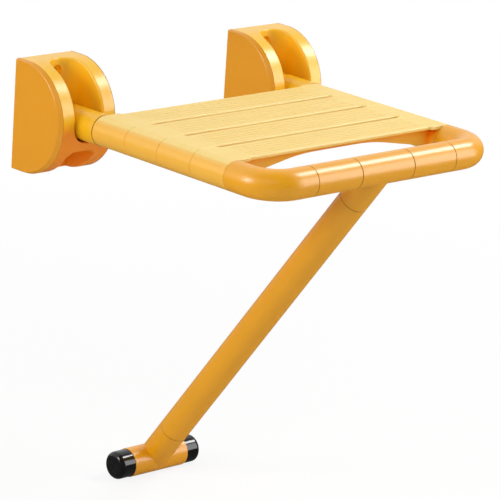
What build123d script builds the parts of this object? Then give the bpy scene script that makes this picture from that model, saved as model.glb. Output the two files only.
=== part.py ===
import os
from math import asin, cos, degrees, hypot, radians, sin, sqrt

from build123d import *

os.makedirs("parts", exist_ok=True)

# All sizes are in millimetres. The wall is the plane Y = 0, the seat reaches out towards -Y,
# +X is the right-hand bracket, and the hinge axis lies at Z = 0.

# Tubes
tube_d = 35.0  # nylon rings, sleeves and fittings, outside
sleeve_wall = 5.0  # nylon around a steel core tube
core_wall = 1.5  # steel core tubes, wall
tube_fit = 0.05  # radial gap between nylon and a steel tube
seam = 0.1  # gap between two nylon pieces on one tube
seam_round = 0.7  # rounding of the nylon ends at a seam

# Layout of the seat
arm_spacing = 323.0  # between the two arm axes
reach = 385.0  # wall to the front tube's axis
channel_back = 21.5  # wall to the back of the arm's channel
seat_back = 109.0  # wall to the back of the first slat
elbow_leg = 56.0  # last slat to the front tube's axis
slat_count = 4

# Slats
plate_t = 4.0  # top plate
slot_width = 7.0  # drain slot between two slats
slot_margin = 22.0  # from the arm axis to the end of a drain slot
edge_round = 1.6  # rounding of the top along a drain slot
rib_t = 3.0
rib_inset = 13.0  # from the edge of the slat's pitch to the middle of a rib
rib_flat = 110.0  # straight middle of a rib's arched lower edge
rib_mid_depth = 5.0  # below the plate, in the middle
rib_end_depth = 22.0  # below the plate, at the rings
rib_arch_r = 250.0  # between a rib's middle and its sloping ends
rib_bite = 3.4  # how far a rib runs into its ring
groove_count = 5  # grip grooves along each slat
groove_pitch = 7.6
groove_width = 1.2
groove_depth = 0.3
groove_margin = 8.0  # from the end of a drain slot to the end of a groove

# Elbows and front bar
elbow_bend = 33.0  # bend radius on the axis
elbow_step = 2.5  # shoulder that the end of a tube meets
socket_depth = 21.0  # tube inside an elbow
knuckle_socket = 36.0  # arm tube inside a knuckle

# Wall brackets
bracket_height = 130.0
bracket_depth = 84.0
housing_wall = 4.5
cheek_wall = 3.5  # between the channel and the hollow cheek
back_wall = 4.0  # between the hollow cheek and the wall plate
pocket_room = 11.0  # room for bolt head and nut beside an ear
channel_gap = 2.25  # between the knuckle and the channel
bridge_height = 11.5  # under the saddle
access_chamfer = 6.0
mouth_round = 2.0  # rounding of the channel's mouth
cover_t = 4.0
cover_setback = 5.2  # the outer face of a cover starts behind its rim
cover_draft = 1.2
cover_round = 1.4
lip_t = 1.6
lip_depth = 4.0
lip_gap = 0.15

# Steel hinge bracket and its bolt
wall_plate_t = 3.0
wall_plate_margin = 4.0  # beside the ears
wall_plate_end = 8.0  # beyond the wall holes
wall_plate_corner = 5.0
wall_plate_fit = 0.2
ear_t = 3.0
ear_base = 48.0
ear_end_r = 14.0
bolt_inset = 15.0  # from the top or the bottom of a bracket to a wall hole
bolt_hole_d = 6.5
counterbore_d = 13.5
counterbore_depth = 3.0
pin_d = 10.0
pin_hole_gap = 0.1
pin_wall_gap = 0.5
head_flats = 17.0
head_height = 6.4
nut_height = 6.0
thread_gap = 0.02
thread_out = 2.0
washer_d = 20.0
washer_t = 1.5

# Hinge knuckle and its bushes
knuckle_step = 0.75  # the knuckle stands out from the rings
bush_seat = 1.75  # depth of the flat that a bush sits on
bush_d = 14.0
bush_length = 12.5
bush_flange_d = 17.2
bush_fit = 0.05  # radial running fit on the bolt
bush_press = 0.02
flange_gap = 0.3
flange_clear = 0.7

# Rest pad in the saddle
pad_angle = 50.0
pad_length = 15.0
pad_setback = 14.0
pad_gap = 0.3

# Leg
leg_tilt = 37.8  # from the vertical, towards the wall
leg_length = 557.0  # front tube's axis to the foot's axis
collar_length = 80.0
collar_gap = 0.3  # between the collar and a front sleeve
collar_bush_t = 2.0
collar_bush_length = 30.0
collar_socket = 55.0  # front axis to the end of the collar's socket
collar_floor_t = 5.5  # between the collar's bore and the end of the leg tube
foot_length = 82.0
foot_socket = 57.5  # foot axis to the end of the foot's socket
foot_floor = 18.0  # foot axis to the end of the leg tube
cap_length = 21.5
cap_step = 0.7  # the cap stands in from the foot
cap_round = 6.0
cap_stem_wall = 5.5  # nylon around the stem of a cap
cap_stem_length = 18.0
cap_stem_gap = 0.1

# Set screws
screw_d = 6.0
screw_gap = 0.05
screw_sink = 0.8
screw_flats = 3.0
screw_socket = 2.0

# Values worked out from the sizes above
tube_r = tube_d / 2
core_r = tube_r - sleeve_wall
bore_r = core_r + tube_fit
elbow_bore_r = core_r - elbow_step
arm_x = arm_spacing / 2
front_y = -reach
seat_front = reach - elbow_leg
slat_pitch = (seat_front - seat_back) / slat_count
elbow_x = arm_x - elbow_leg
slot_length = 2 * (arm_x - slot_margin)
plate_z = tube_r - plate_t
knuckle_r = tube_r + knuckle_step
bush_face = knuckle_r - bush_seat
channel_r = knuckle_r + channel_gap
hinge_set = channel_back + channel_r  # wall to the hinge axis
hinge_y = -hinge_set
bracket_r = bracket_height / 2
cheek_x = channel_r + cheek_wall
ear_x = cheek_x + ear_t
housing_half = ear_x + pocket_room
pocket_back = wall_plate_t + back_wall
bolt_pitch = bracket_height - 2 * bolt_inset
wall_plate_width = 2 * (ear_x + wall_plate_margin)
wall_plate_height = bolt_pitch + 2 * wall_plate_end
pin_r = pin_d / 2
flange_r = bush_flange_d / 2
collar_half = collar_length / 2
collar_bore_r = core_r + collar_bush_t
collar_floor = collar_bore_r + collar_floor_t  # front axis to the end of the leg tube
foot_half = foot_length / 2
cap_r = tube_r - cap_step
cap_stem_r = tube_r - cap_stem_wall
screw_r = screw_d / 2
leg_direction = (0, sin(radians(leg_tilt)), -cos(radians(leg_tilt)))
leg_back = (0, cos(radians(leg_tilt)), sin(radians(leg_tilt)))
leg_plane = Plane(origin=(0, front_y, 0), x_dir=(1, 0, 0), z_dir=leg_direction)
foot_y = front_y + leg_length * leg_direction[1]
foot_z = leg_length * leg_direction[2]
sides = ((-1, "left"), (1, "right"))
down = (0, 0, -1)
touch = 0.01  # two places closer than this are one place

# Places of the set screws under the arms and the front bar
knuckle_screw_y = -(seat_back - knuckle_socket / 2)
elbow_screw_y = -(seat_front + socket_depth / 2)
elbow_screw_x = elbow_x + socket_depth / 2


def d_profile(half_height, front, back):
    """A D seen from the side: flat at the wall, round at the front."""
    with BuildSketch() as profile:
        with BuildLine():
            top = Line((-back, half_height), (half_height - front, half_height))
            ThreePointArc(top @ 1, (-front, 0), (half_height - front, -half_height))
            Polyline((half_height - front, -half_height), (-back, -half_height), top @ 0)
        make_face()
    return profile.sketch


def on_mouth(edge, mid):
    """True where the channel or the screw access cuts the round outside of a housing."""
    place = edge.position_at(0.5)
    round_y = bracket_r - bracket_depth
    outside = abs(place.Z) if place.Y > round_y else hypot(place.Y - round_y, place.Z)
    return abs(outside - bracket_r) < touch and abs(place.X - mid) < channel_r + touch


def leg_side_plane(distance):
    """The plane on the leg's axis that faces the leg's back, at a distance down the leg."""
    origin = leg_plane.from_local_coords((0, 0, distance))
    return Plane(origin=origin, x_dir=(1, 0, 0), z_dir=leg_back)


def set_screw(plane, surface_r):
    """A socket set screw that bears on a core tube and ends below the surface around it."""
    with BuildPart() as screw:
        with BuildSketch(plane.offset(core_r)):
            Circle(screw_r)
        extrude(amount=surface_r - screw_sink - core_r)
        with BuildSketch(plane.offset(surface_r - screw_sink)):
            RegularPolygon(screw_flats / 2, 6, major_radius=False)
        extrude(amount=-screw_socket, mode=Mode.SUBTRACT)
    return screw.part


# Bracket housings
for side, hand in sides:
    mid = side * arm_x
    with BuildPart() as housing:
        with BuildSketch(Plane.YZ.offset(mid)):
            add(d_profile(bracket_r, bracket_depth, 0))
        extrude(amount=housing_half, both=True)
        # Upright channel that the arm swings through
        with BuildSketch():
            with Locations((mid, hinge_y)):
                Circle(channel_r)
                Rectangle(2 * channel_r, bracket_depth, align=(Align.CENTER, Align.MAX))
        extrude(amount=bracket_height, mode=Mode.SUBTRACT)
        # Half-round saddle under the arm, with a ball-shaped end behind the hinge axis
        with BuildSketch(Plane.XZ.offset(hinge_set)) as saddle:
            with BuildLine():
                CenterArc((mid, 0), channel_r, 180, 180)
                Line((mid - channel_r, 0), (mid + channel_r, 0))
            make_face()
        extrude(amount=bracket_depth, mode=Mode.SUBTRACT)
        hinge_line = Axis((mid, hinge_y, 0), (1, 0, 0))
        revolve(saddle.sketch, axis=hinge_line, revolution_arc=90, mode=Mode.SUBTRACT)
        # Room for the bush flanges, and the bolt's holes through the cheeks
        with BuildSketch(Plane.YZ.offset(mid)):
            with Locations((hinge_y, 0)):
                Circle(flange_r + flange_clear)
        extrude(amount=channel_r, both=True, mode=Mode.SUBTRACT)
        with BuildSketch(Plane.YZ.offset(mid)):
            with Locations((hinge_y, 0)):
                Circle(pin_r + pin_wall_gap)
        extrude(amount=housing_half, both=True, mode=Mode.SUBTRACT)
        # Way to the lower wall screw, under the bridge
        with BuildSketch(Plane.XZ.offset(channel_back)) as access:
            with Locations((mid, -channel_r - bridge_height)):
                Rectangle(2 * channel_r, bracket_height, align=(Align.CENTER, Align.MAX))
            chamfer(access.vertices().group_by(Axis.Y)[-1], access_chamfer)
        extrude(amount=bracket_depth, mode=Mode.SUBTRACT)
        fillet(housing.edges().filter_by(lambda edge: on_mouth(edge, mid)), mouth_round)
        # Rounded rims at the seams with the side covers
        cheeks = housing.faces().filter_by(Axis.X).sort_by(Axis.X)
        for rim in (cheeks[0], cheeks[-1]):
            fillet(rim.outer_wire().edges().sort_by(Axis.Y)[:-1], seam_round)
        # Hollow cheeks
        for cheek in (-1, 1):
            with BuildSketch(Plane.YZ.offset(mid + cheek * cheek_x)):
                add(d_profile(bracket_r - housing_wall, bracket_depth - housing_wall, pocket_back))
            extrude(amount=cheek * (housing_half - cheek_x), mode=Mode.SUBTRACT)
        # Recess for the wall plate, and slots for its ears
        with BuildSketch(Plane.XZ):
            with Locations((mid, 0)):
                RectangleRounded(
                    wall_plate_width + 2 * wall_plate_fit,
                    wall_plate_height + 2 * wall_plate_fit,
                    wall_plate_corner,
                )
        extrude(amount=wall_plate_t, mode=Mode.SUBTRACT)
        with BuildSketch(Plane.XZ.offset(wall_plate_t)):
            with Locations((mid - cheek_x - ear_t / 2, 0), (mid + cheek_x + ear_t / 2, 0)):
                Rectangle(ear_t + 2 * wall_plate_fit, ear_base + 2 * wall_plate_fit)
        extrude(amount=back_wall, mode=Mode.SUBTRACT)
        # Wall holes, counterbored from the front
        with BuildSketch(Plane.XZ):
            with Locations((mid, bolt_pitch / 2), (mid, -bolt_pitch / 2)):
                Circle(bolt_hole_d / 2)
        extrude(amount=hinge_set, mode=Mode.SUBTRACT)
        with BuildSketch(Plane.XZ.offset(channel_back - counterbore_depth)):
            with Locations((mid, bolt_pitch / 2), (mid, -bolt_pitch / 2)):
                Circle(counterbore_d / 2)
        extrude(amount=channel_r, mode=Mode.SUBTRACT)
    housing.part.label = f"bracket_housing_{hand}"
    export_step(housing.part, f"parts/{housing.part.label}.step")

# Side covers, two on each housing
for side, hand in sides:
    for face, place in ((side, "outer"), (-side, "inner")):
        rim_x = side * arm_x + face * housing_half
        with BuildPart() as cover:
            with BuildSketch(Plane.YZ.offset(rim_x)):
                add(d_profile(bracket_r, bracket_depth, 0))
            with BuildSketch(Plane.YZ.offset(rim_x + face * cover_t)):
                add(d_profile(bracket_r - cover_draft, bracket_depth - cover_setback, 0))
            loft()
            outer_face = cover.faces().filter_by(Axis.X).sort_by(Axis.X)[0 if face < 0 else -1]
            fillet(outer_face.edges().sort_by(Axis.Y)[:-1], cover_round)
            # Lip that plugs into the hollow cheek
            lip_r = bracket_r - housing_wall - lip_gap
            lip_front = bracket_depth - housing_wall - lip_gap
            lip_back = pocket_back + lip_gap
            with BuildSketch(Plane.YZ.offset(rim_x)):
                add(d_profile(lip_r, lip_front, lip_back))
                add(d_profile(lip_r - lip_t, lip_front - lip_t, lip_back + lip_t), mode=Mode.SUBTRACT)
            extrude(amount=-face * lip_depth)
        cover.part.label = f"side_cover_{hand}_{place}"
        export_step(cover.part, f"parts/{cover.part.label}.step")

# Steel hinge brackets: a wall plate with two ears
for side, hand in sides:
    mid = side * arm_x
    with BuildPart() as hinge_bracket:
        with BuildSketch(Plane.XZ):
            with Locations((mid, 0)):
                RectangleRounded(wall_plate_width, wall_plate_height, wall_plate_corner)
            with Locations((mid, bolt_pitch / 2), (mid, -bolt_pitch / 2)):
                Circle(bolt_hole_d / 2, mode=Mode.SUBTRACT)
        extrude(amount=wall_plate_t)
        for cheek in (-1, 1):
            with BuildSketch(Plane.YZ.offset(mid + cheek * cheek_x)):
                with BuildLine():
                    Polyline(
                        (0, ear_base / 2),
                        (-pocket_back, ear_base / 2),
                        (hinge_y, ear_end_r),
                        (hinge_y, -ear_end_r),
                        (-pocket_back, -ear_base / 2),
                        (0, -ear_base / 2),
                        close=True,
                    )
                make_face()
                with Locations((hinge_y, 0)):
                    Circle(ear_end_r)
                    Circle(pin_r + pin_hole_gap, mode=Mode.SUBTRACT)
            extrude(amount=cheek * ear_t)
    hinge_bracket.part.label = f"hinge_bracket_{hand}"
    export_step(hinge_bracket.part, f"parts/{hinge_bracket.part.label}.step")

# Hinge bolts, heads on the outer side, with their nuts and washers
for side, hand in sides:
    head_seat = side * (arm_x + ear_x + washer_t)
    nut_seat = side * (arm_x - ear_x - washer_t)
    shank = 2 * (ear_x + washer_t) + nut_height + thread_out
    with BuildPart() as bolt:
        with BuildSketch(Plane.YZ.offset(head_seat)):
            with Locations((hinge_y, 0)):
                RegularPolygon(head_flats / 2, 6, major_radius=False)
        extrude(amount=side * head_height)
        with BuildSketch(Plane.YZ.offset(head_seat)):
            with Locations((hinge_y, 0)):
                Circle(pin_r)
        extrude(amount=-side * shank)
    bolt.part.label = f"hinge_bolt_{hand}"
    export_step(bolt.part, f"parts/{bolt.part.label}.step")

    with BuildPart() as nut:
        with BuildSketch(Plane.YZ.offset(nut_seat)):
            with Locations((hinge_y, 0)):
                RegularPolygon(head_flats / 2, 6, major_radius=False)
                Circle(pin_r + thread_gap, mode=Mode.SUBTRACT)
        extrude(amount=-side * nut_height)
    nut.part.label = f"hinge_nut_{hand}"
    export_step(nut.part, f"parts/{nut.part.label}.step")

    with BuildPart() as washers:
        for cheek in (-1, 1):
            with BuildSketch(Plane.YZ.offset(side * arm_x + cheek * ear_x)):
                with Locations((hinge_y, 0)):
                    Circle(washer_d / 2)
                    Circle(pin_r + pin_hole_gap, mode=Mode.SUBTRACT)
            extrude(amount=cheek * washer_t)
    washers.part.label = f"hinge_washers_{hand}"
    export_step(washers.part, f"parts/{washers.part.label}.step")

# Rubber rest pads in the saddles
for side, hand in sides:
    mid = side * arm_x
    pad_start = 270 - pad_angle / 2
    with BuildPart() as pad:
        with BuildSketch(Plane.XZ.offset(bracket_depth - pad_setback - pad_length)):
            with BuildLine():
                outer = CenterArc((mid, 0), channel_r, pad_start, pad_angle)
                inner = CenterArc((mid, 0), knuckle_r + pad_gap, pad_start, pad_angle)
                Line(outer @ 0, inner @ 0)
                Line(outer @ 1, inner @ 1)
            make_face()
        extrude(amount=pad_length)
    pad.part.label = f"rest_pad_{hand}"
    export_step(pad.part, f"parts/{pad.part.label}.step")

# Hinge knuckles: round bars with a ball end on the hinge axis
for side, hand in sides:
    mid = side * arm_x
    knuckle_front = -(seat_back - seam)
    with BuildPart() as knuckle:
        with BuildSketch():
            with BuildLine():
                ball = CenterArc((mid, hinge_y), knuckle_r, 0, 90)
                Polyline(ball @ 0, (mid + knuckle_r, knuckle_front), (mid, knuckle_front), ball @ 1)
            make_face()
        revolve(axis=Axis((mid, 0, 0), (0, 1, 0)))
        fillet(knuckle.edges().group_by(Axis.Y)[0], seam_round)
        with BuildSketch(Plane.XZ.offset(seat_back - knuckle_socket)):
            with Locations((mid, 0)):
                Circle(bore_r)
        extrude(amount=knuckle_socket, mode=Mode.SUBTRACT)
        # Bolt bore with a flat seat for each bush
        with BuildSketch(Plane.YZ.offset(mid)):
            with Locations((hinge_y, 0)):
                Circle(bush_d / 2 + bush_press)
        extrude(amount=knuckle_r, both=True, mode=Mode.SUBTRACT)
        for cheek in (-1, 1):
            with BuildSketch(Plane.YZ.offset(mid + cheek * bush_face)):
                with Locations((hinge_y, 0)):
                    Circle(flange_r + flange_clear)
            extrude(amount=cheek * knuckle_r, mode=Mode.SUBTRACT)
        with BuildSketch(Plane((mid, knuckle_screw_y, 0), z_dir=down)):
            Circle(screw_r + screw_gap)
        extrude(amount=tube_d, mode=Mode.SUBTRACT)
    knuckle.part.label = f"hinge_knuckle_{hand}"
    export_step(knuckle.part, f"parts/{knuckle.part.label}.step")

    with BuildPart() as bushes:
        for cheek in (-1, 1):
            with BuildSketch(Plane.YZ.offset(mid + cheek * bush_face)):
                with Locations((hinge_y, 0)):
                    Circle(bush_d / 2)
                    Circle(pin_r + bush_fit, mode=Mode.SUBTRACT)
            extrude(amount=-cheek * bush_length)
            with BuildSketch(Plane.YZ.offset(mid + cheek * bush_face)):
                with Locations((hinge_y, 0)):
                    Circle(flange_r)
                    Circle(pin_r + bush_fit, mode=Mode.SUBTRACT)
            extrude(amount=cheek * (channel_r - flange_gap - bush_face))
    bushes.part.label = f"hinge_bushes_{hand}"
    export_step(bushes.part, f"parts/{bushes.part.label}.step")

# Steel core tubes of the arms
for side, hand in sides:
    with BuildPart() as arm_tube:
        with BuildSketch(Plane.XZ.offset(seat_back - knuckle_socket)):
            with Locations((side * arm_x, 0)):
                Circle(core_r)
                Circle(core_r - core_wall, mode=Mode.SUBTRACT)
        extrude(amount=seat_front - seat_back + knuckle_socket + socket_depth)
    arm_tube.part.label = f"arm_tube_{hand}"
    export_step(arm_tube.part, f"parts/{arm_tube.part.label}.step")

# Seat slats with a ring at each end
ring_meet_x = arm_x - sqrt(tube_r**2 - plate_z**2)
ring_sweep = 270 + degrees(asin(plate_z / tube_r))
rib_end_x = arm_x - tube_r + rib_bite
for number in range(1, slat_count + 1):
    back = seat_back + (number - 1) * slat_pitch
    with BuildPart() as slat:
        with BuildSketch(Plane.XZ.offset(back + seam / 2)):
            with BuildLine():
                Line((0, tube_r), (arm_x, tube_r))
                CenterArc((arm_x, 0), tube_r, 90, -ring_sweep)
                Line((ring_meet_x, plate_z), (0, plate_z))
                mirror(about=Plane.YZ)
            make_face()
            with Locations((-arm_x, 0), (arm_x, 0)):
                Circle(bore_r, mode=Mode.SUBTRACT)
        extrude(amount=slat_pitch - seam)
        # Half of a drain slot along each side
        with BuildSketch(Plane.XY.offset(tube_r)):
            with Locations((0, -back), (0, -back - slat_pitch)):
                SlotOverall(slot_length, slot_width)
        extrude(amount=-plate_t, mode=Mode.SUBTRACT)
        top_edges = slat.faces().sort_by(Axis.Z)[-1].edges().filter_by(Axis.X)
        fillet(top_edges.group_by(SortBy.LENGTH)[-1], edge_round)
        rounds = slat.edges().filter_by(GeomType.CIRCLE)
        fillet(rounds.filter_by(lambda edge: abs(edge.radius - tube_r) < touch), seam_round)
        # Arched ribs under the plate
        for rib_y in (back + rib_inset, back + slat_pitch - rib_inset):
            with BuildSketch(Plane.XZ.offset(rib_y - rib_t / 2)) as rib:
                with BuildLine():
                    Polyline(
                        (0, plate_z),
                        (rib_end_x, plate_z),
                        (rib_end_x, plate_z - rib_end_depth),
                        (rib_flat / 2, plate_z - rib_mid_depth),
                        (0, plate_z - rib_mid_depth),
                    )
                    mirror(about=Plane.YZ)
                make_face()
                bends = rib.vertices().group_by(Axis.Y)[1].sort_by(Axis.X)
                fillet((bends[0], bends[-1]), rib_arch_r)
            extrude(amount=rib_t)
        # Grip grooves
        with BuildSketch(Plane((0, -back - slat_pitch / 2, tube_r))):
            with GridLocations(0, groove_pitch, 1, groove_count):
                SlotOverall(slot_length - 2 * groove_margin, groove_width)
        extrude(amount=-groove_depth, mode=Mode.SUBTRACT)
    slat.part.label = f"seat_slat_{number}"
    export_step(slat.part, f"parts/{slat.part.label}.step")

# Elbows at the front corners
for side, hand in sides:
    start = (side * arm_x, -seat_front - seam / 2)
    corner = (side * arm_x, front_y)
    end = (side * (elbow_x + seam / 2), front_y)
    with BuildPart() as elbow:
        with BuildLine() as elbow_path:
            FilletPolyline(start, corner, end, radius=elbow_bend)
        with BuildSketch(Plane.XZ.offset(seat_front + seam / 2)):
            with Locations((side * arm_x, 0)):
                Circle(tube_r)
        sweep(path=elbow_path.wires()[0])
        fillet(elbow.edges().group_by(Axis.Y)[-1], seam_round)
        fillet(elbow.edges().filter_by(Plane.YZ).sort_by(Axis.X)[-1 if side < 0 else 0], seam_round)
        with BuildSketch(Plane.XZ.offset(seat_front + seam / 2)):
            with Locations((side * arm_x, 0)):
                Circle(elbow_bore_r)
        sweep(path=elbow_path.wires()[0], mode=Mode.SUBTRACT)
        # Sockets for the arm tube and the front tube
        with BuildSketch(Plane.XZ.offset(seat_front)):
            with Locations((side * arm_x, 0)):
                Circle(bore_r)
        extrude(amount=socket_depth, mode=Mode.SUBTRACT)
        with BuildSketch(Plane.YZ.offset(side * elbow_x)):
            with Locations((front_y, 0)):
                Circle(bore_r)
        extrude(amount=side * socket_depth, mode=Mode.SUBTRACT)
        for place in ((side * arm_x, elbow_screw_y, 0), (side * elbow_screw_x, front_y, 0)):
            with BuildSketch(Plane(place, z_dir=down)):
                Circle(screw_r + screw_gap)
            extrude(amount=tube_d, mode=Mode.SUBTRACT)
    elbow.part.label = f"elbow_{hand}"
    export_step(elbow.part, f"parts/{elbow.part.label}.step")

# Front tube and its two sleeves
with BuildPart() as front_tube:
    with BuildSketch(Plane.YZ):
        with Locations((front_y, 0)):
            Circle(core_r)
            Circle(core_r - core_wall, mode=Mode.SUBTRACT)
    extrude(amount=elbow_x + socket_depth, both=True)
front_tube.part.label = "front_tube"
export_step(front_tube.part, "parts/front_tube.step")

for side, hand in sides:
    with BuildPart() as sleeve:
        with BuildSketch(Plane.YZ.offset(side * collar_half)):
            with Locations((front_y, 0)):
                Circle(tube_r)
        extrude(amount=side * (elbow_x - seam / 2 - collar_half))
        fillet(sleeve.edges().filter_by(GeomType.CIRCLE), seam_round)
        with BuildSketch(Plane.YZ.offset(side * collar_half)):
            with Locations((front_y, 0)):
                Circle(bore_r)
        extrude(amount=side * elbow_x, mode=Mode.SUBTRACT)
    sleeve.part.label = f"front_sleeve_{hand}"
    export_step(sleeve.part, f"parts/{sleeve.part.label}.step")

# Set screws of the seat frame
with BuildPart() as frame_screws:
    for side, hand in sides:
        add(set_screw(Plane((side * arm_x, knuckle_screw_y, 0), z_dir=down), knuckle_r))
        add(set_screw(Plane((side * arm_x, elbow_screw_y, 0), z_dir=down), tube_r))
        add(set_screw(Plane((side * elbow_screw_x, front_y, 0), z_dir=down), tube_r))
frame_screws.part.label = "frame_set_screws"
export_step(frame_screws.part, "parts/frame_set_screws.step")

# Leg collar, which turns on the front tube
collar_screw = leg_side_plane((collar_floor + collar_socket) / 2)
with BuildPart() as collar:
    with BuildSketch(Plane.YZ):
        with Locations((front_y, 0)):
            Circle(tube_r)
    extrude(amount=collar_half - collar_gap, both=True)
    fillet(collar.edges().filter_by(GeomType.CIRCLE), seam_round)
    with BuildSketch(leg_plane):
        Circle(tube_r)
    extrude(amount=collar_socket - seam / 2)
    fillet(collar.edges().filter_by(GeomType.CIRCLE).sort_by(Axis.Z)[0], seam_round)
    with BuildSketch(Plane.YZ):
        with Locations((front_y, 0)):
            Circle(collar_bore_r)
    extrude(amount=collar_half, both=True, mode=Mode.SUBTRACT)
    with BuildSketch(leg_plane.offset(collar_floor)):
        Circle(bore_r)
    extrude(amount=collar_socket, mode=Mode.SUBTRACT)
    with BuildSketch(collar_screw):
        Circle(screw_r + screw_gap)
    extrude(amount=tube_d, mode=Mode.SUBTRACT)
collar.part.label = "leg_collar"
export_step(collar.part, "parts/leg_collar.step")

for side, hand in sides:
    with BuildPart() as collar_bush:
        with BuildSketch(Plane.YZ.offset(side * (collar_half - collar_gap))):
            with Locations((front_y, 0)):
                Circle(collar_bore_r - bush_press)
                Circle(bore_r, mode=Mode.SUBTRACT)
        extrude(amount=-side * collar_bush_length)
    collar_bush.part.label = f"collar_bush_{hand}"
    export_step(collar_bush.part, f"parts/{collar_bush.part.label}.step")

# Leg tube and its sleeve
with BuildPart() as leg_tube:
    with BuildSketch(leg_plane.offset(collar_floor)):
        Circle(core_r)
        Circle(core_r - core_wall, mode=Mode.SUBTRACT)
    extrude(amount=leg_length - foot_floor - collar_floor)
leg_tube.part.label = "leg_tube"
export_step(leg_tube.part, "parts/leg_tube.step")

with BuildPart() as leg_sleeve:
    with BuildSketch(leg_plane.offset(collar_socket + seam / 2)):
        Circle(tube_r)
    extrude(amount=leg_length - foot_socket - collar_socket - seam)
    fillet(leg_sleeve.edges().filter_by(GeomType.CIRCLE), seam_round)
    with BuildSketch(leg_plane.offset(collar_socket)):
        Circle(bore_r)
    extrude(amount=leg_length, mode=Mode.SUBTRACT)
leg_sleeve.part.label = "leg_sleeve"
export_step(leg_sleeve.part, "parts/leg_sleeve.step")

# Foot tee and its two rubber caps
foot_screw = leg_side_plane(leg_length - (foot_floor + foot_socket) / 2)
with BuildPart() as foot_tee:
    with BuildSketch(Plane.YZ):
        with Locations((foot_y, foot_z)):
            Circle(tube_r)
    extrude(amount=foot_half, both=True)
    fillet(foot_tee.edges().filter_by(GeomType.CIRCLE), seam_round)
    with BuildSketch(leg_plane.offset(leg_length)):
        Circle(tube_r)
    extrude(amount=-(foot_socket - seam / 2))
    fillet(foot_tee.edges().filter_by(GeomType.CIRCLE).sort_by(Axis.Z)[-1], seam_round)
    with BuildSketch(leg_plane.offset(leg_length - foot_floor)):
        Circle(bore_r)
    extrude(amount=-foot_socket, mode=Mode.SUBTRACT)
    for side, hand in sides:
        with BuildSketch(Plane.YZ.offset(side * foot_half)):
            with Locations((foot_y, foot_z)):
                Circle(cap_stem_r + cap_stem_gap)
        extrude(amount=-side * cap_stem_length, mode=Mode.SUBTRACT)
    with BuildSketch(foot_screw):
        Circle(screw_r + screw_gap)
    extrude(amount=tube_d, mode=Mode.SUBTRACT)
foot_tee.part.label = "foot_tee"
export_step(foot_tee.part, "parts/foot_tee.step")

for side, hand in sides:
    with BuildPart() as cap:
        with BuildSketch(Plane.YZ.offset(side * foot_half)):
            with Locations((foot_y, foot_z)):
                Circle(cap_r)
        extrude(amount=side * cap_length)
        cap_rims = cap.edges().filter_by(GeomType.CIRCLE).sort_by(Axis.X)
        fillet(cap_rims[0 if side < 0 else -1], cap_round)
        with BuildSketch(Plane.YZ.offset(side * foot_half)):
            with Locations((foot_y, foot_z)):
                Circle(cap_stem_r)
        extrude(amount=-side * cap_stem_length)
    cap.part.label = f"foot_cap_{hand}"
    export_step(cap.part, f"parts/{cap.part.label}.step")

# Set screws of the leg
with BuildPart() as leg_screws:
    add(set_screw(collar_screw, tube_r))
    add(set_screw(foot_screw, tube_r))
leg_screws.part.label = "leg_set_screws"
export_step(leg_screws.part, "parts/leg_set_screws.step")
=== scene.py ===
from math import radians

import bpy
from bpy.props import FloatProperty, FloatVectorProperty, PointerProperty
from bpy.types import NodeSocket, Operator, Panel, PropertyGroup
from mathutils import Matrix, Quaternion, Vector


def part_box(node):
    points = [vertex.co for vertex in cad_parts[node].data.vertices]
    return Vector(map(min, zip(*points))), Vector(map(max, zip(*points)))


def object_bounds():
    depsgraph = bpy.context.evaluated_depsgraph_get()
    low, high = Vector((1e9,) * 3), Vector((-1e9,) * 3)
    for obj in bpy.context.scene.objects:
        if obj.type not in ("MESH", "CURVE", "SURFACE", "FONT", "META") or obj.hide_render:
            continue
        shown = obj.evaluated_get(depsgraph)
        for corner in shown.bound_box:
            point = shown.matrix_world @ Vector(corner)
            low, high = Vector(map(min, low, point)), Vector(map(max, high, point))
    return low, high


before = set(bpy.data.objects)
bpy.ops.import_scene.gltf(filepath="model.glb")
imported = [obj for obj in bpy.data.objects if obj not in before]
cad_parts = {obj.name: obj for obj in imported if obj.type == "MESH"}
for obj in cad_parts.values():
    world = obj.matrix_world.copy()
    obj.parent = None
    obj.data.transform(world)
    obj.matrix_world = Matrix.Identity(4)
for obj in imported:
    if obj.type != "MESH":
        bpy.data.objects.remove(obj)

bl_info = {
    "name": "Folding Shower Seat",
    "version": (1, 0, 0),
    "blender": (4, 5, 0),
    "location": "3D View > Sidebar > Shower Seat",
    "description": "Finishes and studio for a folding shower seat on two wall brackets",
    "category": "Object",
}

CAD_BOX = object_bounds()
FLOOR_Z = CAD_BOX[0].z
HANDS = ("left", "right")

X_AXIS, Y_AXIS, Z_AXIS = range(3)
STEEL_NAMES = ("crosswise_steel", "lengthwise_steel", "upright_steel")

# Values of a pattern that become none and all of a change
WHOLE = (0.0, 1.0)
EVEN_PATCHES = (0.3, 0.7)
SPARSE_PATCHES = (0.4, 0.7)
BLOOM_PATCHES = (0.45, 0.8)
SLAT_LINES = (0.35, 0.6)

# How open a face is where the painted shade and glow of a recess start, and where they are at full strength
NYLON_RECESS_PAINT = (0.66, 0.36)
SLAT_RECESS_PAINT = (0.85, 0.45)

# How much other pieces close a face in where a seam starts, and where it is all seam
SEAM_SHADE = (0.05, 0.3)

# How far a face looks up at the edge of a slat's top, and on the top itself
SLAT_TOP = (0.6, 0.98)

# Shares of a finish's roughness at its shiniest and at its dullest
NYLON_GLOSS = (0.9, 1.1)
RUBBER_GLOSS = (0.8, 1.3)
STEEL_GLOSS = (0.75, 1.25)
BUSH_GLOSS = (0.85, 1.2)

# Directions where the backdrop starts, and where it is all backdrop
BACKWARD = (-0.1, 0.5)
OVER_HORIZON = (-0.05, 0.05)

WHITE = (1, 1, 1, 1)
FLOOR_GREY = (0.8, 0.8, 0.8, 1)


def pair(stem):
    """The left and the right node of a piece."""
    return [f"{stem}_{hand}" for hand in HANDS]


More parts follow.
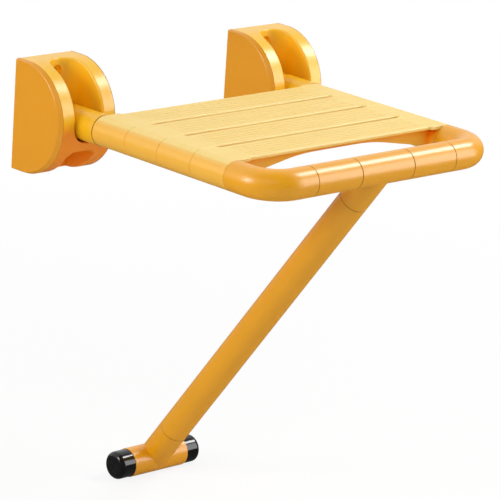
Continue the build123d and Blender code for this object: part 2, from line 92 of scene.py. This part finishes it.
def colour_setting(name, description, default):
    """A colour that the user can change."""
    return FloatVectorProperty(
        name=name, description=description, default=default, size=3, min=0, max=1, subtype="COLOR"
    )


def share_setting(name, description, default):
    """A share between 0 and 1 that the user can change."""
    return FloatProperty(name=name, description=description, default=default, min=0, max=1, subtype="FACTOR")


def length_setting(name, description, default):
    """A length in metres that the user can change."""
    return FloatProperty(
        name=name, description=description, default=default, min=0, precision=5,
        subtype="DISTANCE", unit="LENGTH",
    )


def angle_setting(name, description, degrees):
    """An angle that the user can change."""
    return FloatProperty(
        name=name, description=description, default=radians(degrees), subtype="ANGLE", unit="ROTATION"
    )


def power_setting(name, description, default):
    """A lamp's power in watts that the user can change."""
    return FloatProperty(name=name, description=description, default=default, min=0, unit="POWER")


class NylonFinish(PropertyGroup):
    """The yellow nylon of the brackets, the tubes' sleeves and the slats."""

    colour: colour_setting("Nylon", "Smooth yellow nylon", (0.79, 0.345, 0.003))
    cover: colour_setting("Cover", "Darker nylon of the side covers", (0.72, 0.29, 0.003))
    knuckle: colour_setting("Knuckle", "Yellower nylon of the hinge knuckles", (0.82, 0.43, 0.004))
    # The housing's paler colour is a painted sheen where light catches its upper part, and its deeper colour
    # below the hinge is painted shade: lit and shaded copies of the same nylon
    bright: colour_setting("Housing", "Brighter nylon of the bracket housings", (0.88, 0.49, 0.018))
    under: colour_setting("Housing, below", "Deeper nylon of housings below the hinge", (0.90, 0.27, 0.001))
    # Painted bounce light: recesses get a brighter, deeper orange glow, as if light bounced inside them
    recess: colour_setting("Recess", "Deep recesses of the nylon", (1.0, 0.50, 0.001))
    seam: colour_setting("Seam", "Shade in the seams between pieces", (0.20, 0.05, 0.001))
    ring: colour_setting("Ring", "Rings and ribs of the slats", (0.82, 0.43, 0.04))
    # Painted shade: the slats' sunk rib faces get a deeper orange where shade and bounced light fall
    rib_painted_shade: colour_setting("Rib", "Sunk faces of the slats' ribs", (0.95, 0.29, 0.001))
    ring_deep: colour_setting("Ring, deep", "Where the rings' pigment drifts deeper", (0.80, 0.40, 0.035))
    slat: colour_setting("Slat top", "Grained top of the slats", (0.84, 0.62, 0.20))
    slat_line: colour_setting("Slat lines", "Between the slat's grain lines", (0.82, 0.58, 0.165))
    roughness: share_setting("Roughness", "Satin of the smooth nylon", 0.32)
    slat_roughness: share_setting("Slat roughness", "Matt top of the slats", 0.55)
    shine: share_setting("Shine", "Strength of the reflections", 0.75)
    # How far the painted glow and shade of a recess reach
    recess_reach: length_setting("Recess reach", "How far a recess reaches", 0.05)
    # Where the housing's painted shade below the hinge starts, and over what height it fades in
    painted_shade_start: length_setting("Deeper from", "Height over the hinge where a housing turns deeper", 0.01)
    painted_shade_fade: length_setting("Deeper over", "Height over which a housing turns deeper", 0.018)
    seam_reach: length_setting("Seam reach", "How far a seam reaches", 0.0015)
    drift_size: length_setting("Drift", "Size of the pigment's drift", 0.09)
    drift_level: share_setting("Drift level", "Level of the colour where the pigment drifts deeper", 0.95)
    grain_size: length_setting("Grain", "Size of the moulded grain", 0.0011)
    grain_depth: length_setting("Grain depth", "Depth of the moulded grain", 0.00001)
    plate_depth: length_setting("Plate depth", "How far down the slat's top colour reaches", 0.004)
    plate_fade: length_setting("Plate fade", "Height over which the slat's top colour fades in", 0.001)
    line_length: length_setting("Line length", "Length of a slat's grain lines", 0.09)
    line_width: length_setting("Line width", "Width of a slat's grain lines", 0.0018)
    line_depth: length_setting("Line depth", "Depth of a slat's grain lines", 0.0001)


class RubberFinish(PropertyGroup):
    """The black rubber of the foot caps and the rest pads."""

    colour: colour_setting("Rubber", "Black rubber", (0.004, 0.004, 0.004))
    dust: colour_setting("Dust", "Faint bloom on the rubber", (0.014, 0.011, 0.012))
    roughness: share_setting("Roughness", "Shine of the rubber", 0.14)
    bloom_size: length_setting("Bloom", "Size of the bloom's patches", 0.0096)
    grain_size: length_setting("Grain", "Size of the rubber's grain", 0.0012)
    grain_depth: length_setting("Grain depth", "Depth of the rubber's grain", 0.000008)


class SteelFinish(PropertyGroup):
    """The steel of the core tubes, the hinge brackets and the fasteners."""

    colour: colour_setting("Steel", "Bright steel", (0.62, 0.62, 0.63))
    dull: colour_setting("Dull steel", "Dull patches on the steel", (0.45, 0.45, 0.47))
    roughness: share_setting("Roughness", "Brushed steel", 0.32)
    stroke_length: length_setting("Stroke length", "Length of the brush strokes", 0.03)
    stroke_width: length_setting("Stroke width", "Width of the brush strokes", 0.0003)
    stroke_depth: length_setting("Stroke depth", "Depth of the brush strokes", 0.00001)


class BushFinish(PropertyGroup):
    """The white plastic of the bearing bushes."""

    colour: colour_setting("Bush", "Off-white bearing plastic", (0.80, 0.79, 0.74))
    shade: colour_setting("Bush, shade", "Slightly yellowed patches", (0.70, 0.67, 0.58))
    roughness: share_setting("Roughness", "Waxy surface", 0.4)
    patch_size: length_setting("Patches", "Size of the yellowed patches", 0.006)


class StudioSettings(PropertyGroup):
    """The camera, the lamps and the floor."""

    azimuth: angle_setting("Azimuth", "Camera's turn from the front", -43.45)
    elevation: angle_setting("Elevation", "Camera's height above the horizon", 16.07)
    roll: angle_setting("Roll", "Camera's lean to one side", 3.78)
    distance: length_setting("Distance", "Camera to the aimed place", 3.797)
    aim: FloatVectorProperty(
        name="Aim", description="Place the camera looks at", default=(-0.0302, -0.22, -0.1212), size=3,
        subtype="TRANSLATION", unit="LENGTH",
    )
    lens: FloatProperty(name="Lens", description="Focal length", default=241.03, min=1, unit="CAMERA")
    shift_right: FloatProperty(name="Shift right", description="Frame's shift to the right", default=0.0005)
    shift_up: FloatProperty(name="Shift up", description="Frame's shift upwards", default=-0.0163)
    floor_size: length_setting("Floor", "Width of the floor", 30.0)
    floor_glow: share_setting("Floor glow", "How much of the floor is plain white near the foot", 0.86)
    glow_start: length_setting("Glow start", "Where the floor starts to turn white", 0.1)
    glow_end: length_setting("Glow end", "Where the floor is all white", 1.3)
    lamp_distance: length_setting("Lamp distance", "From the seat to each lamp", 2.2)
    key_power: power_setting("Key", "Soft box at the right", 23.0)
    front_power: power_setting("Front", "Tall panel at the front right", 24.0)
    left_power: power_setting("Left", "Soft box at the left", 18.0)
    fill_power: power_setting("Fill lamp", "Broad panel at the camera's side", 17.0)
    around: share_setting("Around", "Level of the light from all around", 0.12)
    backdrop: share_setting("Backdrop", "Level of the light from behind the wall", 0.85)


class SeatSettings(PropertyGroup):
    """All the settings of the shower seat."""

    nylon: PointerProperty(type=NylonFinish)
    rubber: PointerProperty(type=RubberFinish)
    steel: PointerProperty(type=SteelFinish)
    bush: PointerProperty(type=BushFinish)
    studio: PointerProperty(type=StudioSettings)


def set_sockets(node, **values):
    """Sets plain numbers and colours on a node's own sockets."""
    for name, value in values.items():
        node.inputs[name.replace("_", " ")].default_value = value


def add_node(tree, kind, **values):
    """A new shader node with some of its sockets set."""
    node = tree.nodes.new(kind)
    set_sockets(node, **values)
    return node


def start_finish(name):
    """A new material, with its node tree and its shader."""
    material = bpy.data.materials.new(name)
    material.use_nodes = True
    tree = material.node_tree
    return material, tree, tree.nodes["Principled BSDF"]


def on_piece(tree, scale=(1, 1, 1)):
    """Places on the piece itself, stretched by a scale."""
    place = add_node(tree, "ShaderNodeTexCoord")
    stretch = add_node(tree, "ShaderNodeMapping", Scale=scale)
    tree.links.new(place.outputs["Object"], stretch.inputs["Vector"])
    return stretch.outputs["Vector"]


def coordinate(tree, source, axis):
    """One axis of a place on the piece, of the way a face looks or of a direction in the world."""
    place = add_node(tree, "ShaderNodeTexCoord")
    parts = add_node(tree, "ShaderNodeSeparateXYZ")
    tree.links.new(place.outputs[source], parts.inputs["Vector"])
    return parts.outputs[axis]


def mottle(tree, size, detail=2.0):
    """Soft random patches of about one size, from 0 to 1."""
    noise = add_node(tree, "ShaderNodeTexNoise", Scale=1 / size, Detail=detail)
    tree.links.new(on_piece(tree), noise.inputs["Vector"])
    return noise.outputs["Fac"]


def strokes(tree, length, width, along, detail=2.0):
    """Random lines along one axis of the piece, from 0 to 1."""
    scale = [1 / width] * 3
    scale[along] = 1 / length
    noise = add_node(tree, "ShaderNodeTexNoise", Scale=1.0, Detail=detail)
    tree.links.new(on_piece(tree, scale), noise.inputs["Vector"])
    return noise.outputs["Fac"]


def ramp(tree, value, low, high, start=0.0, end=1.0):
    """Turns values from low to high into values from start to end."""
    node = add_node(tree, "ShaderNodeMapRange", From_Min=low, From_Max=high, To_Min=start, To_Max=end)
    tree.links.new(value, node.inputs["Value"])
    return node.outputs["Result"]


def socket(sockets, identifier):
    """The one of a node's sockets that has this identifier."""
    return next(each for each in sockets if each.identifier == identifier)


def blend(tree, share, first, second, data_type, kind):
    """A mix of two sockets or plain values, the first where share is 0 and the second where it is 1."""
    node = tree.nodes.new("ShaderNodeMix")
    node.data_type = data_type
    tree.links.new(share, socket(node.inputs, "Factor_Float"))
    for letter, value in (("A", first), ("B", second)):
        chosen = socket(node.inputs, f"{letter}_{kind}")
        if isinstance(value, NodeSocket):
            tree.links.new(value, chosen)
        else:
            chosen.default_value = value
    return socket(node.outputs, f"Result_{kind}")


def opaque(colour):
    """A plain colour with its alpha, or a socket as it is."""
    return colour if isinstance(colour, NodeSocket) else (*colour, 1)


def blend_colours(tree, share, first, second):
    """The first colour where share is 0, the second where it is 1."""
    return blend(tree, share, opaque(first), opaque(second), "RGBA", "Color")


def blend_values(tree, share, first, second):
    """The first value where share is 0, the second where it is 1."""
    return blend(tree, share, first, second, "FLOAT", "Float")


def relief(tree, height, depth, under=None):
    """Bumps of a depth in metres, over other bumps if there are any."""
    node = add_node(tree, "ShaderNodeBump", Strength=1.0, Distance=depth)
    tree.links.new(height, node.inputs["Height"])
    if under:
        tree.links.new(under, node.inputs["Normal"])
    return node.outputs["Normal"]


def combine(tree, operation, first, second):
    """Joins two values by a sum, a product or the like."""
    node = tree.nodes.new("ShaderNodeMath")
    node.operation = operation
    tree.links.new(first, node.inputs[0])
    tree.links.new(second, node.inputs[1])
    return node.outputs[0]


def openness(tree, reach, own_only):
    """1 on an open face, and less where its own piece, or any piece, closes it in."""
    node = add_node(tree, "ShaderNodeAmbientOcclusion", Distance=reach)
    node.only_local = own_only
    return node.outputs["AO"]


def in_seam(tree, reach):
    """1 in the seams against other pieces, and 0 elsewhere."""
    alone = openness(tree, reach, own_only=True)
    among_all = openness(tree, reach, own_only=False)
    return ramp(tree, combine(tree, "SUBTRACT", alone, among_all), *SEAM_SHADE)


def uneven_gloss(tree, shader, pattern, span, roughness, gloss):
    """Roughness that follows a pattern, between two shares of the finish's own."""
    shiniest, dullest = (roughness * share for share in gloss)
    tree.links.new(ramp(tree, pattern, *span, shiniest, dullest), shader.inputs["Roughness"])


def satin_nylon(look, name, colour, under=None):
    """Smooth nylon with drifting pigment, a painted glow of bounced light in its own recesses, painted shade
    in the seams against other pieces, and maybe painted shade below.
    """
    material, tree, shader = start_finish(name)
    drift = ramp(tree, mottle(tree, look.drift_size), *EVEN_PATCHES)
    grain = mottle(tree, look.grain_size)
    deeper = [level * look.drift_level for level in colour]
    open_colour = blend_colours(tree, drift, deeper, colour)
    # Painted bounce light: hollows of the piece's own shape turn to the glowing recess colour
    painted_recess_share = ramp(tree, openness(tree, look.recess_reach, own_only=True), *NYLON_RECESS_PAINT)
    colour_with_painted_light = blend_colours(tree, painted_recess_share, open_colour, look.recess)
    # Painted shade: a housing turns deeper below the hinge, where less light falls
    if under:
        height = coordinate(tree, "Object", "Z")
        above_painted_shade = ramp(tree, height, look.painted_shade_start - look.painted_shade_fade, look.painted_shade_start)
        colour_with_painted_light = blend_colours(tree, above_painted_shade, under, colour_with_painted_light)
    # Painted shade: seams against other pieces turn dark
    seams = in_seam(tree, look.seam_reach)
    tree.links.new(blend_colours(tree, seams, colour_with_painted_light, look.seam), shader.inputs["Base Color"])
    uneven_gloss(tree, shader, grain, EVEN_PATCHES, look.roughness, NYLON_GLOSS)
    tree.links.new(relief(tree, grain, look.grain_depth), shader.inputs["Normal"])
    set_sockets(shader, Specular_IOR_Level=look.shine)
    return material


def grained_slat(look, name, top_height):
    """Slat nylon: satin rings and ribs with painted shade in their recesses, and a matt top with fine lines
    along the slat.
    """
    material, tree, shader = start_finish(name)
    top = ramp(tree, coordinate(tree, "Normal", "Z"), *SLAT_TOP)
    plate_underside = top_height - look.plate_depth
    height = coordinate(tree, "Object", "Z")
    on_plate = ramp(tree, height, plate_underside, plate_underside + look.plate_fade)
    pale = combine(tree, "MAXIMUM", top, on_plate)
    lines = strokes(tree, look.line_length, look.line_width, X_AXIS)
    drift = ramp(tree, mottle(tree, look.drift_size), *EVEN_PATCHES)
    grain = mottle(tree, look.grain_size)
    open_colour = blend_colours(tree, drift, look.ring_deep, look.ring)
    # Painted shade: the slat's own recesses, under the plate and between the ribs, turn deeper orange
    painted_recess_share = ramp(tree, openness(tree, look.recess_reach, own_only=True), *SLAT_RECESS_PAINT)
    smooth_colour = blend_colours(tree, painted_recess_share, open_colour, look.rib_painted_shade)
    top_colour = blend_colours(tree, ramp(tree, lines, *SLAT_LINES), look.slat_line, look.slat)
    tree.links.new(blend_colours(tree, pale, smooth_colour, top_colour), shader.inputs["Base Color"])
    roughness = blend_values(tree, top, look.roughness, look.slat_roughness)
    tree.links.new(roughness, shader.inputs["Roughness"])
    lines_on_top = combine(tree, "MULTIPLY", lines, top)
    fine = relief(tree, grain, look.grain_depth)
    tree.links.new(relief(tree, lines_on_top, look.line_depth, fine), shader.inputs["Normal"])
    set_sockets(shader, Specular_IOR_Level=look.shine)
    return material


def shiny_rubber(look, name):
    """Shiny black rubber with a faint bloom."""
    material, tree, shader = start_finish(name)
    bloom = ramp(tree, mottle(tree, look.bloom_size, detail=4.0), *BLOOM_PATCHES)
    grain = mottle(tree, look.grain_size)
    tree.links.new(blend_colours(tree, bloom, look.colour, look.dust), shader.inputs["Base Color"])
    uneven_gloss(tree, shader, bloom, WHOLE, look.roughness, RUBBER_GLOSS)
    tree.links.new(relief(tree, grain, look.grain_depth), shader.inputs["Normal"])
    return material


def brushed_steel(look, name, along):
    """Bright steel with strokes along one axis."""
    material, tree, shader = start_finish(name)
    lines = strokes(tree, look.stroke_length, look.stroke_width, along)
    dull = ramp(tree, mottle(tree, look.stroke_length, detail=4.0), *SPARSE_PATCHES)
    tree.links.new(blend_colours(tree, dull, look.colour, look.dull), shader.inputs["Base Color"])
    uneven_gloss(tree, shader, lines, EVEN_PATCHES, look.roughness, STEEL_GLOSS)
    tree.links.new(relief(tree, lines, look.stroke_depth), shader.inputs["Normal"])
    set_sockets(shader, Metallic=1.0)
    return material


def bearing_plastic(look, name):
    """Waxy off-white plastic, slightly yellowed in patches."""
    material, tree, shader = start_finish(name)
    patches = ramp(tree, mottle(tree, look.patch_size, detail=3.0), *SPARSE_PATCHES)
    tree.links.new(blend_colours(tree, patches, look.colour, look.shade), shader.inputs["Base Color"])
    uneven_gloss(tree, shader, patches, WHOLE, look.roughness, BUSH_GLOSS)
    return material


def finish_nodes(names, material):
    """Gives these pieces of the frame a finish."""
    for name in names:
        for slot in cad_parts[name].material_slots:
            slot.material = material


def shared(make, look, name, *details):
    """A finish that several pieces have, made the first time it is asked for."""
    return bpy.data.materials.get(name) or make(look, name, *details)


def plain_nylon(look):
    """The nylon of most pieces."""
    return shared(satin_nylon, look.nylon, "satin_nylon", look.nylon.colour)


def steel_along(look, axis):
    """The steel whose strokes run along one axis."""
    return shared(brushed_steel, look.steel, STEEL_NAMES[axis], axis)


def cap_rubber(look):
    """The rubber of the caps and the pads."""
    return shared(shiny_rubber, look.rubber, "shiny_rubber")


def bush_plastic(look):
    """The plastic of the bushes."""
    return shared(bearing_plastic, look.bush, "bearing_plastic")


class SHOWERSEAT_OT_wall_brackets(Operator):
    """Finish the two wall brackets: housings, side covers and rest pads"""

    bl_idname = "showerseat.wall_brackets"
    bl_label = "Wall Brackets"

    def execute(self, context):
        look = context.scene.shower_seat
        nylon = look.nylon
        # The housings get a paler nylon as painted sheen, and a deeper one below the hinge as painted shade
        bright = shared(satin_nylon, nylon, "bright_nylon", nylon.bright, nylon.under)
        finish_nodes(pair("bracket_housing"), bright)
        covers = [f"side_cover_{hand}_{place}" for hand in HANDS for place in ("outer", "inner")]
        finish_nodes(covers, shared(satin_nylon, nylon, "cover_nylon", nylon.cover))
        finish_nodes(pair("rest_pad"), cap_rubber(look))
        return {"FINISHED"}


class SHOWERSEAT_OT_hinges(Operator):
    """Finish the hinges: steel brackets, bolts, nuts, washers, knuckles and bushes"""

    bl_idname = "showerseat.hinges"
    bl_label = "Hinges"

    def execute(self, context):
        look = context.scene.shower_seat
        nylon = look.nylon
        finish_nodes(pair("hinge_bracket"), steel_along(look, Z_AXIS))
        fasteners = pair("hinge_bolt") + pair("hinge_nut") + pair("hinge_washers")
        finish_nodes(fasteners, steel_along(look, X_AXIS))
        yellower = shared(satin_nylon, nylon, "knuckle_nylon", nylon.knuckle)
        finish_nodes(pair("hinge_knuckle"), yellower)
        finish_nodes(pair("hinge_bushes"), bush_plastic(look))
        return {"FINISHED"}


class SHOWERSEAT_OT_slats(Operator):
    """Finish the seat slats"""

    bl_idname = "showerseat.slats"
    bl_label = "Seat Slats"

    def execute(self, context):
        look = context.scene.shower_seat
        names = [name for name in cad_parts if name.startswith("seat_slat")]
        top_height = max(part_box(name)[1].z for name in names)
        finish_nodes(names, shared(grained_slat, look.nylon, "grained_slat", top_height))
        return {"FINISHED"}


class SHOWERSEAT_OT_seat_frame(Operator):
    """Finish the seat's frame: core tubes, elbows, front sleeves and set screws"""

    bl_idname = "showerseat.seat_frame"
    bl_label = "Seat Frame"

    def execute(self, context):
        look = context.scene.shower_seat
        finish_nodes(pair("elbow") + pair("front_sleeve"), plain_nylon(look))
        finish_nodes(pair("arm_tube"), steel_along(look, Y_AXIS))
        finish_nodes(["front_tube", "frame_set_screws"], steel_along(look, X_AXIS))
        return {"FINISHED"}


class SHOWERSEAT_OT_leg(Operator):
    """Finish the leg: collar, bushes, core tube, sleeve, foot tee and set screws"""

    bl_idname = "showerseat.leg"
    bl_label = "Leg"

    def execute(self, context):
        look = context.scene.shower_seat
        finish_nodes(["leg_collar", "leg_sleeve", "foot_tee"], plain_nylon(look))
        finish_nodes(pair("collar_bush"), bush_plastic(look))
        finish_nodes(["leg_tube", "leg_set_screws"], steel_along(look, Z_AXIS))
        return {"FINISHED"}


class SHOWERSEAT_OT_foot_caps(Operator):
    """Finish the rubber caps on the foot"""

    bl_idname = "showerseat.foot_caps"
    bl_label = "Foot Caps"

    def execute(self, context):
        look = context.scene.shower_seat
        finish_nodes(pair("foot_cap"), cap_rubber(look))
        return {"FINISHED"}


def rays(tree, kind):
    """1 for one kind of rays, and 0 for all others."""
    return tree.nodes.new("ShaderNodeLightPath").outputs[f"Is {kind} Ray"]


def distance_out(tree):
    """The distance along the floor from below the middle between the brackets."""
    length = tree.nodes.new("ShaderNodeVectorMath")
    length.operation = "LENGTH"
    tree.links.new(on_piece(tree, (1, 1, 0)), length.inputs[0])
    return length.outputs["Value"]


def pale_floor(studio):
    """A pale floor that keeps the soft shadow and turns plain white further out."""
    material = bpy.data.materials.new("pale_floor")
    material.use_nodes = True
    tree = material.node_tree
    tree.nodes.clear()
    diffuse = add_node(tree, "ShaderNodeBsdfDiffuse", Color=FLOOR_GREY)
    glow = add_node(tree, "ShaderNodeEmission", Color=WHITE, Strength=1.0)
    white = ramp(tree, distance_out(tree), studio.glow_start, studio.glow_end, studio.floor_glow, 1.0)
    mixed = tree.nodes.new("ShaderNodeMixShader")
    share, shadowed, plain = mixed.inputs
    tree.links.new(combine(tree, "MULTIPLY", white, rays(tree, "Camera")), share)
    tree.links.new(diffuse.outputs["BSDF"], shadowed)
    tree.links.new(glow.outputs["Emission"], plain)
    output = tree.nodes.new("ShaderNodeOutputMaterial")
    tree.links.new(mixed.outputs["Shader"], output.inputs["Surface"])
    return material


def add_floor(studio):
    """A square floor under the foot, which doesn't show in shiny surfaces."""
    half = studio.floor_size / 2
    corners = ((-half, -half), (half, -half), (half, half), (-half, half))
    mesh = bpy.data.meshes.new("floor")
    mesh.from_pydata([(x, y, FLOOR_Z) for x, y in corners], [], [(0, 1, 2, 3)])
    mesh.materials.append(pale_floor(studio))
    floor = bpy.data.objects.new("floor", mesh)
    bpy.context.scene.collection.objects.link(floor)
    floor.visible_glossy = False


def direction(azimuth, elevation):
    """The direction at an azimuth from the front and an elevation above the horizon."""
    turned = Quaternion((0, 0, 1), azimuth) @ Quaternion((1, 0, 0), -elevation)
    return turned @ Vector((0, -1, 0))


def place_facing(name, data, studio, out, distance):
    """A lamp or a camera that stands out from the seat and faces it."""
    holder = bpy.data.objects.new(name, data)
    holder.location = Vector(studio.aim) + out * distance
    holder.rotation_mode = "QUATERNION"
    holder.rotation_quaternion = (-out).to_track_quat("-Z", "Y")
    bpy.context.scene.collection.objects.link(holder)
    return holder


def add_lamp(name, studio, power, azimuth, elevation, width, height, mirrored=True):
    """A soft box that faces the seat, and shows in shiny surfaces if it is mirrored."""
    lamp = bpy.data.lights.new(name, "AREA")
    lamp.shape = "RECTANGLE"
    lamp.size = width
    lamp.size_y = height
    lamp.energy = power
    out = direction(radians(azimuth), radians(elevation))
    holder = place_facing(name, lamp, studio, out, studio.lamp_distance)
    holder.visible_glossy = mirrored


def light_world(studio):
    """Dim light all around and a bright backdrop, white to the camera and in what mirrors the back."""
    world = bpy.data.worlds.new("studio")
    world.use_nodes = True
    tree = world.node_tree
    behind = ramp(tree, coordinate(tree, "Generated", "Y"), *BACKWARD)
    above = ramp(tree, coordinate(tree, "Generated", "Z"), *OVER_HORIZON)
    at_back = combine(tree, "MULTIPLY", behind, above)
    glow = ramp(tree, at_back, *WHOLE, studio.around, studio.backdrop)
    mirrored = combine(tree, "MAXIMUM", rays(tree, "Glossy"), rays(tree, "Transmission"))
    white = combine(tree, "MAXIMUM", rays(tree, "Camera"), combine(tree, "MULTIPLY", mirrored, at_back))
    background = tree.nodes["Background"]
    set_sockets(background, Color=WHITE)
    tree.links.new(blend_values(tree, white, glow, 1.0), background.inputs["Strength"])
    bpy.context.scene.world = world


def add_camera(studio):
    """The camera at the photographed angle."""
    camera = bpy.data.cameras.new("camera")
    camera.lens = studio.lens
    camera.shift_x = studio.shift_right
    camera.shift_y = studio.shift_up
    camera.clip_end = studio.floor_size * 2
    out = direction(studio.azimuth, studio.elevation)
    holder = place_facing("camera", camera, studio, out, studio.distance)
    holder.rotation_quaternion = holder.rotation_quaternion @ Quaternion((0, 0, 1), studio.roll)
    bpy.context.scene.camera = holder


class SHOWERSEAT_OT_stage(Operator):
    """Set up the floor, the lamps and the camera"""

    bl_idname = "showerseat.stage"
    bl_label = "Stage"

    def execute(self, context):
        studio = context.scene.shower_seat.studio
        add_floor(studio)
        add_lamp("key_lamp", studio, studio.key_power, azimuth=74, elevation=46, width=0.65, height=0.65)
        add_lamp("front_lamp", studio, studio.front_power, azimuth=45, elevation=15, width=1.1, height=1.5)
        add_lamp("left_lamp", studio, studio.left_power, azimuth=-104, elevation=23, width=0.75, height=0.75)
        add_lamp(
            "fill_lamp", studio, studio.fill_power, azimuth=-52, elevation=36, width=1.4, height=1.4,
            mirrored=False,
        )
        light_world(studio)
        add_camera(studio)
        context.scene.view_settings.view_transform = "Standard"
        return {"FINISHED"}


OPERATORS = (
    SHOWERSEAT_OT_wall_brackets,
    SHOWERSEAT_OT_hinges,
    SHOWERSEAT_OT_slats,
    SHOWERSEAT_OT_seat_frame,
    SHOWERSEAT_OT_leg,
    SHOWERSEAT_OT_foot_caps,
    SHOWERSEAT_OT_stage,
)


class SHOWERSEAT_PT_panel(Panel):
    """Lists the steps that dress the shower seat"""

    bl_idname = "SHOWERSEAT_PT_panel"
    bl_label = "Shower Seat"
    bl_space_type = "VIEW_3D"
    bl_region_type = "UI"
    bl_category = "Shower Seat"

    def draw(self, context):
        for operator in OPERATORS:
            self.layout.operator(operator.bl_idname)


CLASSES = (
    NylonFinish,
    RubberFinish,
    SteelFinish,
    BushFinish,
    StudioSettings,
    SeatSettings,
    *OPERATORS,
    SHOWERSEAT_PT_panel,
)


def register():
    """Registers the classes and the scene's settings."""
    for each in CLASSES:
        bpy.utils.register_class(each)
    bpy.types.Scene.shower_seat = PointerProperty(type=SeatSettings)


def unregister():
    """Takes the settings and the classes away again."""
    del bpy.types.Scene.shower_seat
    for each in reversed(CLASSES):
        bpy.utils.unregister_class(each)


def main():
    """Dresses the seat step by step."""
    register()
    bpy.ops.showerseat.wall_brackets()
    bpy.ops.showerseat.hinges()
    bpy.ops.showerseat.slats()
    bpy.ops.showerseat.seat_frame()
    bpy.ops.showerseat.leg()
    bpy.ops.showerseat.foot_caps()
    bpy.ops.showerseat.stage()


if __name__ == "__main__":
    main()
